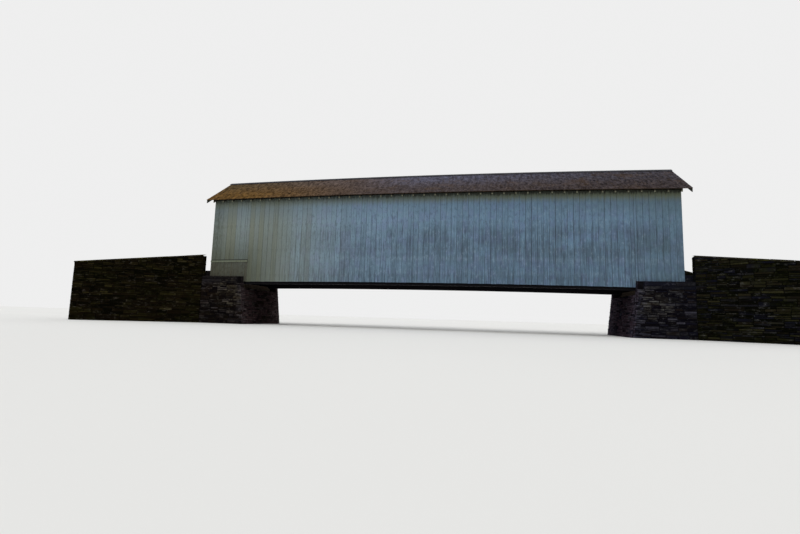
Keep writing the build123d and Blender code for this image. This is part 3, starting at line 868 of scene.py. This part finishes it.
def ridge_cap():
    """Two runs of boards that meet over the ridge. Each board lies on the shingles, its
    upper edge plumb at the ridge, and follows the camber."""
    rng = np.random.default_rng(24)
    heap = Heap()
    rest = roof_thickness / cos(roof_pitch)
    skin = ridge_cap_thickness / cos(roof_pitch)
    for sign in (-1.0, 1.0):
        ends = split(rng, 2 * roof_end, 3.4, 0.25) - roof_end
        x = lengthwise(ends, 0.002, 6)
        reach = ridge_cap_reach - rng.uniform(0.0, 0.008, (len(x), 1, 1))
        y = 0.001 + (reach - 0.001) * np.array([0, 1, 1, 0.97, 0.03, 0])
        rise = rest + skin * np.array([0, 0, 0.8, 1, 1, 0.97])
        z = sheathing(y) + rise - drop(x)
        heap.add_bars(stack(x, sign * y, z), rng.uniform(0, 1, len(x)), 0.0)
    return heap


piece("front_shingles", shingles(-1.0), shingled, "wood_shingles", "front_roof_slope")
piece("back_shingles", shingles(1.0), shingled, "wood_shingles", "back_roof_slope")
piece("roof_boards", roof_boards(), bare_boards, "rough_timber")
piece("ridge_boards", ridge_cap(), ridge_boards, "wood_shingles", "ridge_cap")


# Roadway


def deck():
    """Planks across the roadway. Each is a sawn outline carried from side to side, a little
    thinner in the two wheel tracks, with uneven ends."""
    rng = np.random.default_rng(31)
    heap = Heap()
    ends = split(rng, 2 * frame_end, plank_width, 0.12) - frame_end
    count = len(ends) - 1
    left, right = ends[:-1] + 0.003, ends[1:] - 0.003
    thick = np.full(count, plank_thickness) - rng.uniform(0, 0.005, count)
    x, deep = sawn_outline(left, right, thick, 0.004)
    half_length = deck_reach - rng.uniform(0, 0.012, (count, 1, 1))
    y = np.linspace(-1, 1, 13)[None, :, None] * half_length
    wear = track_wear * np.exp(-((np.abs(y) - wheel_track) / track_width) ** 2)
    foot = deck_top - plank_thickness
    top = (deep / thick[:, None])[:, None, :] > 0.5
    z = foot + deep[:, None, :] - wear * top - drop(x)[:, None, :]
    heap.add_bars(stack(x[:, None, :], y, z), rng.uniform(0, 1, count), side_marks)
    return heap


piece("roadway_planks", deck(), roadway, "floor_planks", "deck_planks")


# Masonry


class Face:
    """One plane of masonry: a corner, the step per metre along it and per metre up it, and
    the way out of it."""

    def __init__(self, corner, along, up, out):
        self.corner, self.along, self.up = (np.array(v, float) for v in (corner, along, up))
        self.out = np.array(out, float) / np.linalg.norm(out)

    def place(self, u, v, d):
        return (self.corner + u[..., None] * self.along + v[..., None] * self.up
                + d[..., None] * self.out)


def laid(rng, levels, width, length):
    """Where the stones of a wall lie: between the levels, each course is cut into lengths of
    uneven size, each of those into rows of uneven height (two to five in a high course), and
    each row into one or two stones or more, so that joints break. (stone, 4): left, right,
    foot, head."""
    places = []
    for foot, head in zip(levels[:-1], levels[1:]):
        ends = split(rng, width, 2.4 * length, 0.5)
        for left, right in zip(ends[:-1], ends[1:]):
            most = 5 if head - foot > 0.26 else 2 if head - foot > 0.13 else 1
            rows = min(most, rng.choice([2, 3, 3, 4, 4, 5]))
            heights = foot + split(rng, head - foot, (head - foot) / rows, 0.3)
            for low_joint, high_joint in zip(heights[:-1], heights[1:]):
                cuts = left + split(rng, right - left, 1.25 * length, 0.45)
                level = np.ones(len(cuts) - 1)
                places.append(np.stack(
                    [cuts[:-1], cuts[1:], level * low_joint, level * high_joint], -1))
    return np.concatenate(places)


def add_stones(heap, rng, face, places, left, right, top, shape):
    """Stones on a face. Each is an eight-cornered outline with uneven corners, kept between
    left(v), right(v), the foot and top(u), carried from its bed out to its worn face, whose
    edge is drawn in and whose corners stand out unevenly. shape is (bed, relief, wander)."""
    bed, relief, wander = shape
    middle_u, middle_v = places[:, :2].mean(1), places[:, 2:].mean(1)
    inside = (middle_u > left(middle_v)) & (middle_u < right(middle_v))
    inside &= middle_v + 0.02 < top(middle_u)
    p = places[inside]
    count = len(p)
    joint = stone_joint * rng.uniform(0.2, 0.9, (count, 4))
    half_u = (p[:, 1] - p[:, 0] - joint[:, 0] - joint[:, 1]) / 2
    half_v = (p[:, 3] - p[:, 2] - joint[:, 2] - joint[:, 3]) / 2
    cut = rng.uniform(0.12, 0.5, (count, 8)) * np.minimum(half_u, half_v)[:, None]
    sign_u = np.array([-1, -1, 1, 1, 1, 1, -1, -1])
    sign_v = np.array([-1, -1, -1, -1, 1, 1, 1, 1])
    by_u, by_v = np.array([0, 1, 1, 0, 0, 1, 1, 0]), np.array([1, 0, 0, 1, 1, 0, 0, 1])
    off_u = sign_u * (half_u[:, None] - cut * by_u)
    off_v = sign_v * (half_v[:, None] - cut * by_v * 0.7)
    off_v = off_v + np.repeat(rng.uniform(-0.007, 0.007, (count, 4)), 2, axis=1)
    whole = np.ones(count)
    drawn_u = np.stack([whole, whole, 1 - 0.018 / np.maximum(half_u, 0.03)], -1)
    drawn_v = np.stack([whole, whole, 1 - 0.014 / np.maximum(half_v, 0.025)], -1)
    u = p[:, :2].mean(1)[:, None, None] + off_u[:, None, :] * drawn_u[:, :, None]
    v = p[:, 2:].mean(1)[:, None, None] + off_v[:, None, :] * drawn_v[:, :, None]
    v = v + wander * (np.sin(2.3 * u + 4.0 * v) + 0.6 * np.sin(5.1 * u - 6.0 * v + 1.0))
    u = np.clip(u, left(v) + 0.003, right(v) - 0.003)
    v = np.clip(v, 0.004, top(u) - 0.003)
    stand = relief * rng.uniform(0.35, 1.0, (count, 1))
    tilt = rng.uniform(-0.25, 0.25, (count, 8)) * relief
    d = np.stack([np.broadcast_to(-bed + 0 * stand, (count, 8)),
                  np.broadcast_to(stand * 0.35, (count, 8)),
                  np.clip(stand + tilt, 0.1 * relief, 1.15 * relief)], 1)
    tones = rng.beta(1.8, 2.4, count) * np.clip(1.25 - 4.5 * half_v, 0.5, 1.1)
    side = np.array([1.0, 1.0, 0.0])[None, :, None]
    rings = face.place(u, v, d)
    rings[..., 2] = np.maximum(rings[..., 2], 0.002)
    heap.add_bars(rings, tones, side)


rough_shape = (stone_bed, stone_relief, stone_wander)


def steady(place):
    """A bound of a face that is at the same place all along it."""
    return lambda along: 0 * along + place


def fill(heap, rng, face, levels, width, top, length=rubble_length, left=steady(0)):
    """Rubble in courses between the levels, its stones about the given length, from left(v) to
    the width and up to top(u)."""
    places = laid(rng, levels, width, length)
    add_stones(heap, rng, face, places, left, steady(width), top, rough_shape)


def abutment_stones(sign):
    """The stones of one abutment with its cheek walls and back wall: rubble courses up to the
    seat and beside it, one course of large blocks on the cheeks, and rubble behind."""
    rng = np.random.default_rng(41 if sign > 0 else 42)
    heap = Heap()
    rubble_levels = split(rng, seat_level, rubble_height)
    shoulder = cap_top - block_height
    block_top, block_limit = cap_top + 0.008, cap_top + 0.011
    upper_levels = seat_level + split(rng, shoulder - seat_level, rubble_height)
    side_levels = np.concatenate([rubble_levels, upper_levels[1:]])
    width = 2 * (abutment_side + stone_relief)
    start = -width / 2

    def leaning(v):
        return v * front_batter

    span_face = Face((sign * abutment_toe, start, 0), (0, 1, 0),
                     (sign * front_batter, 0, 1), (-sign, 0, front_batter))
    fill(heap, rng, span_face, rubble_levels, width, steady(seat_level))
    cheek = abutment_side + stone_relief - cheek_back
    for near in (0.0, width - cheek):
        places = laid(rng, upper_levels, cheek, cheek)
        places[:, :2] += near
        sides = steady(near), steady(near + cheek)
        add_stones(heap, rng, span_face, places, *sides, steady(shoulder), rough_shape)
        block = np.array([[near, near + cheek, shoulder, block_top]])
        add_stones(heap, rng, span_face, block, *sides, steady(block_limit),
                   (cheek_block_bed, stone_relief, 0.0))
    length = abutment_end - abutment_toe
    for side in (-1.0, 1.0):
        flank = Face((sign * abutment_toe, side * abutment_side, 0), (sign, 0, 0),
                     (0, 0, 1), (0, side, 0))
        fill(heap, rng, flank, side_levels, length, steady(shoulder), left=leaning)
        block_levels = np.array([shoulder, block_top])
        blocks = laid(rng, block_levels, length - corner_block, block_length)
        blocks[:, :2] += corner_block
        add_stones(heap, rng, flank, blocks, leaning, steady(length), steady(block_limit),
                   (side_block_bed, stone_relief, 0.0))
    rear = Face((sign * abutment_end, -cheek_back, 0), (0, 1, 0), (0, 0, 1), (sign, 0, 0))
    rear_levels = split(rng, back_wall_top + 0.01, rubble_height)
    width = 2 * cheek_back
    fill(heap, rng, rear, rear_levels[:-1], width, steady(back_wall_top))
    blocks = laid(rng, rear_levels[-2:], width, block_length_behind)
    through = abutment_end - back_wall_face - 0.005
    add_stones(heap, rng, rear, blocks, steady(0), steady(width),
               steady(back_wall_top + 0.012), (through, stone_relief, 0.0))
    return heap


# How far a coping falls in each metre along its wing wall
wing_fall = (wing_near_height - wing_far_height) / wing_length


def wing_axes(sign, side):
    """Corner of a wing wall at its abutment, the way along it and the way out of it."""
    root = np.array([sign * abutment_end, side * abutment_side, 0])
    along = np.array([sign * cos(wing_angle), side * sin(wing_angle), 0])
    outward = np.array([-sign * sin(wing_angle), side * cos(wing_angle), 0])
    return root, along, outward


def wing_stones(sign, side):
    """The stones of one wing wall: its outer and inner faces under the sloping coping, its
    far end, and the short faces beside the abutment."""
    rng = np.random.default_rng(45 + int(sign) + 3 * int(side))
    heap = Heap()
    root, along, outward = wing_axes(sign, side)
    near_top = wing_near_height - coping_thickness

    def under_coping(start, rate):
        return lambda u: near_top - wing_fall * (start + rate * u)

    levels = split(rng, near_top + 0.02, rubble_height)
    outer = Face(root, along, (0, 0, 1), outward)
    length = wing_length + stone_relief
    fill(heap, rng, outer, levels, length, under_coping(0, 1))
    tread = (abutment_side - cheek_back) / cos(wing_angle)
    inner_start = (wing_thickness - tread) / tan(wing_angle)
    inner = Face(root - outward * wing_thickness + along * inner_start, along, (0, 0, 1),
                 -outward)
    length = wing_length - inner_start + stone_relief
    fill(heap, rng, inner, levels, length, under_coping(inner_start, 1))
    far = Face(root + along * wing_length, -outward, (0, 0, 1), along)
    fill(heap, rng, far, levels, wing_thickness, under_coping(wing_length, 0), end_stone_length)
    foot = sign * abutment_end, side * cheek_back, 0
    back_reach = (inner.corner[0] - foot[0]) * sign
    cheek = Face(foot, (sign, 0, 0), (0, 0, 1), (0, -side, 0))
    fill(heap, rng, cheek, levels, back_reach, under_coping(0, cos(wing_angle)))
    return_face = Face(foot, (0, side, 0), (0, 0, 1), (-sign, 0, 0))
    width = abutment_side - cheek_back
    upper_levels = levels[levels > cap_top]
    fill(heap, rng, return_face, upper_levels, width, under_coping(0, 0), length=width)
    return heap


def wing_copings(sign):
    """The coping slabs of both wing walls at one end: a slab outline with worn upper edges
    carried down the slope in uneven lengths, the first cut to the abutment and the cheek."""
    rng = np.random.default_rng(51 if sign > 0 else 52)
    heap = Heap()
    tread = abutment_side - cheek_back
    bend = tread * cos(wing_angle)
    near_side, far_side = -coping_overhang, wing_thickness + coping_overhang
    w = np.array([near_side, near_side, near_side + 0.014, bend, far_side - 0.014,
                  far_side, far_side, bend])
    h = np.array([-1.0, -0.22, 0.0, 0.0, 0.0, -0.22, -1.0, -1.0]) * coping_thickness
    begin = np.maximum(-w * tan(wing_angle), (w * cos(wing_angle) - tread) / sin(wing_angle))
    for side in (-1.0, 1.0):
        root, along, outward = wing_axes(sign, side)
        total = wing_length + coping_overhang
        ends = split(rng, total, coping_length, 0.25)
        count = len(ends) - 1
        t = np.linspace(0, 1, 5)[None, :, None]
        start = np.repeat(ends[:-1, None], 8, 1) + 0.004
        start[0] = begin + 0.001
        end = np.repeat(ends[1:, None], 8, 1) - 0.004
        s = start[:, None, :] + (end - start)[:, None, :] * t
        rough = rng.uniform(-1, 1, s.shape) * 0.004
        across = w + rough * (np.abs(w - bend) > 0.1)
        across = np.clip(across, near_side, far_side)
        sink = rng.uniform(0.0, 0.007, (count, 1, 1)) + np.abs(rough) * 0.5
        height = wing_near_height - wing_fall * s + h - sink * (h > -0.5 * coping_thickness)
        flat = root + s[..., None] * along - across[..., None] * outward
        rings = flat + np.array([0, 0, 1]) * height[..., None]
        edge = np.array([1, 0.7, 0.3, 0, -0.3, -0.7, -1, 0])
        heap.add_bars(rings, rng.beta(2, 2, count), edge * 0.6)
    return heap


for end_name, sign in (("left", -1.0), ("right", 1.0)):
    piece(f"{end_name}_abutment_stones", abutment_stones(sign), rubble, "rubble_stone")
    for side_name, side in (("front", -1.0), ("back", 1.0)):
        piece(f"{end_name}_{side_name}_wing_stones", wing_stones(sign, side), mossy_rubble_in_painted_shade,
              "rubble_stone")
    piece(f"{end_name}_coping_slabs", wing_copings(sign), coping, "coping_stone",
          f"{end_name}_wing_copings")


# Floor, light and camera


def floor():
    """A wide level sheet under the bridge, as a grid of two by two faces."""
    reach = 900.0
    u, v = np.meshgrid(np.linspace(-reach, reach, 3), np.linspace(-reach, reach, 3))
    points = stack(u, v, -0.002).reshape(-1, 3)
    faces = [(r * 3 + c, r * 3 + c + 1, r * 3 + c + 4, r * 3 + c + 3)
             for r in range(2) for c in range(2)]
    mesh = bpy.data.meshes.new("floor")
    mesh.from_pydata(points.tolist(), [], faces)
    f = Finish("pale_floor")
    cloud = f.noise((0.05, 0.05, 0.05), 2.0)
    f.colour = f.mix(cloud, paint(226, 226, 224), paint(234, 234, 232))
    mesh.materials.append(f.done(0.85 + cloud * 0.1, cloud, 0.001, 0.1))
    sheet = bpy.data.objects.new("floor", mesh)
    bpy.context.scene.collection.objects.link(sheet)


light_strength, seen_strength = 0.78, 0.86
camera_place = (3.5015, -26.2483, 0.6356)
# Yaw, pitch and roll in degrees
camera_turn = (-11.2731, 6.5754, 1.7283)
focal_pixels, photo_width, sensor_width = 441.917, 800, 36.0


def surroundings():
    """An even world of soft white light, a little brighter to the camera and in reflections."""
    world = bpy.data.worlds.new("soft_white")
    world.use_nodes = True
    tree = world.node_tree
    background = tree.nodes["Background"]
    background.inputs["Color"].default_value = (1.0, 1.0, 1.0, 1.0)
    path = tree.nodes.new("ShaderNodeLightPath")
    seen = path.outputs["Is Camera Ray"]
    for kind in ("Is Glossy Ray", "Is Transmission Ray"):
        either = tree.nodes.new("ShaderNodeMath")
        either.operation = "MAXIMUM"
        tree.links.new(seen, either.inputs[0])
        tree.links.new(path.outputs[kind], either.inputs[1])
        seen = either.outputs[0]
    strength = tree.nodes.new("ShaderNodeMapRange")
    strength.inputs["To Min"].default_value = light_strength
    strength.inputs["To Max"].default_value = seen_strength
    tree.links.new(seen, strength.inputs["Value"])
    tree.links.new(strength.outputs[0], background.inputs["Strength"])
    bpy.context.scene.world = world


def lamp(name, strength, aim, spread):
    """A soft distant lamp that shines along aim."""
    data = bpy.data.lights.new(name, "SUN")
    data.energy = strength
    data.angle = radians(spread)
    obj = bpy.data.objects.new(name, data)
    obj.rotation_euler = Vector(aim).to_track_quat("-Z", "Y").to_euler()
    bpy.context.scene.collection.objects.link(obj)


def camera():
    """The camera at its place, turned left by the yaw, tilted up by the pitch and rolled. Its
    focal length goes from pixels of the picture's width to millimetres of the sensor's."""
    yaw, pitch, roll = (radians(angle) for angle in camera_turn)
    forward = np.array([sin(yaw) * cos(pitch), cos(yaw) * cos(pitch), sin(pitch)])
    level = np.array([cos(yaw), -sin(yaw), 0.0])
    upward = np.cross(level, forward)
    right = cos(roll) * level + sin(roll) * upward
    top = cos(roll) * upward - sin(roll) * level
    data = bpy.data.cameras.new("camera")
    data.sensor_width = sensor_width
    data.lens = focal_pixels / photo_width * sensor_width
    data.clip_end = 3000.0
    obj = bpy.data.objects.new("camera", data)
    turn = Matrix((right, top, -forward)).transposed().to_4x4()
    obj.matrix_world = Matrix.Translation(camera_place) @ turn
    bpy.context.scene.collection.objects.link(obj)
    bpy.context.scene.camera = obj


floor()
surroundings()
lamp("soft_key", 0.9, (0.5, 0.75, -0.75), 40.0)
lamp("soft_fill", 0.35, (-0.7, 0.4, -0.5), 60.0)
camera()
bpy.context.scene.view_settings.view_transform = "Standard"
